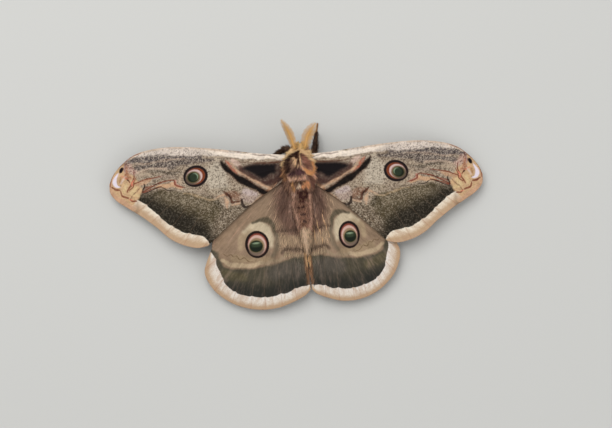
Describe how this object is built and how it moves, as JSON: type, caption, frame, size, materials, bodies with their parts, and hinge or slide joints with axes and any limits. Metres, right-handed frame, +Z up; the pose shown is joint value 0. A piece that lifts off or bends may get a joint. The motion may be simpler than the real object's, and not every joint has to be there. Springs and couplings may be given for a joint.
{
  "type": "giant peacock moth",
  "caption": "Large moth at rest with its eyespotted wings spread flat, standing on its legs, a still life-size model.",
  "frame": {"origin": "on the floor, below the middle of the box round the moth", "axes": "+X to the moth's right across the wingspan, +Y forward towards the head, +Z up"},
  "size_m": [0.1352, 0.0684, 0.0142],
  "materials": {
    "forewing_scales": "matte scales in grey-brown with cream, rust and black markings",
    "hindwing_scales": "matte scales in taupe and mauve-brown with cream and black markings",
    "body_hair": "soft woolly hair, chocolate and maroon-brown",
    "head_hair": "soft golden-tan hair",
    "eye": "dark glossy compound eye",
    "antenna": "golden-tan feathered horn",
    "leg_hair": "short dark brown hair, tan on the feet"
  },
  "bodies": {
    "root": {"thorax": "body_hair", "abdomen": "body_hair", "head": "head_hair", "eye_left": "eye", "eye_right": "eye", "antenna_left": "antenna", "antenna_right": "antenna", "forewing_left": "forewing_scales", "forewing_right": "forewing_scales", "hindwing_left": "hindwing_scales", "hindwing_right": "hindwing_scales", "leg_front_left": "leg_hair", "leg_front_right": "leg_hair", "leg_mid_left": "leg_hair", "leg_mid_right": "leg_hair", "leg_hind_left": "leg_hair", "leg_hind_right": "leg_hair"}
  },
  "joints": []
}
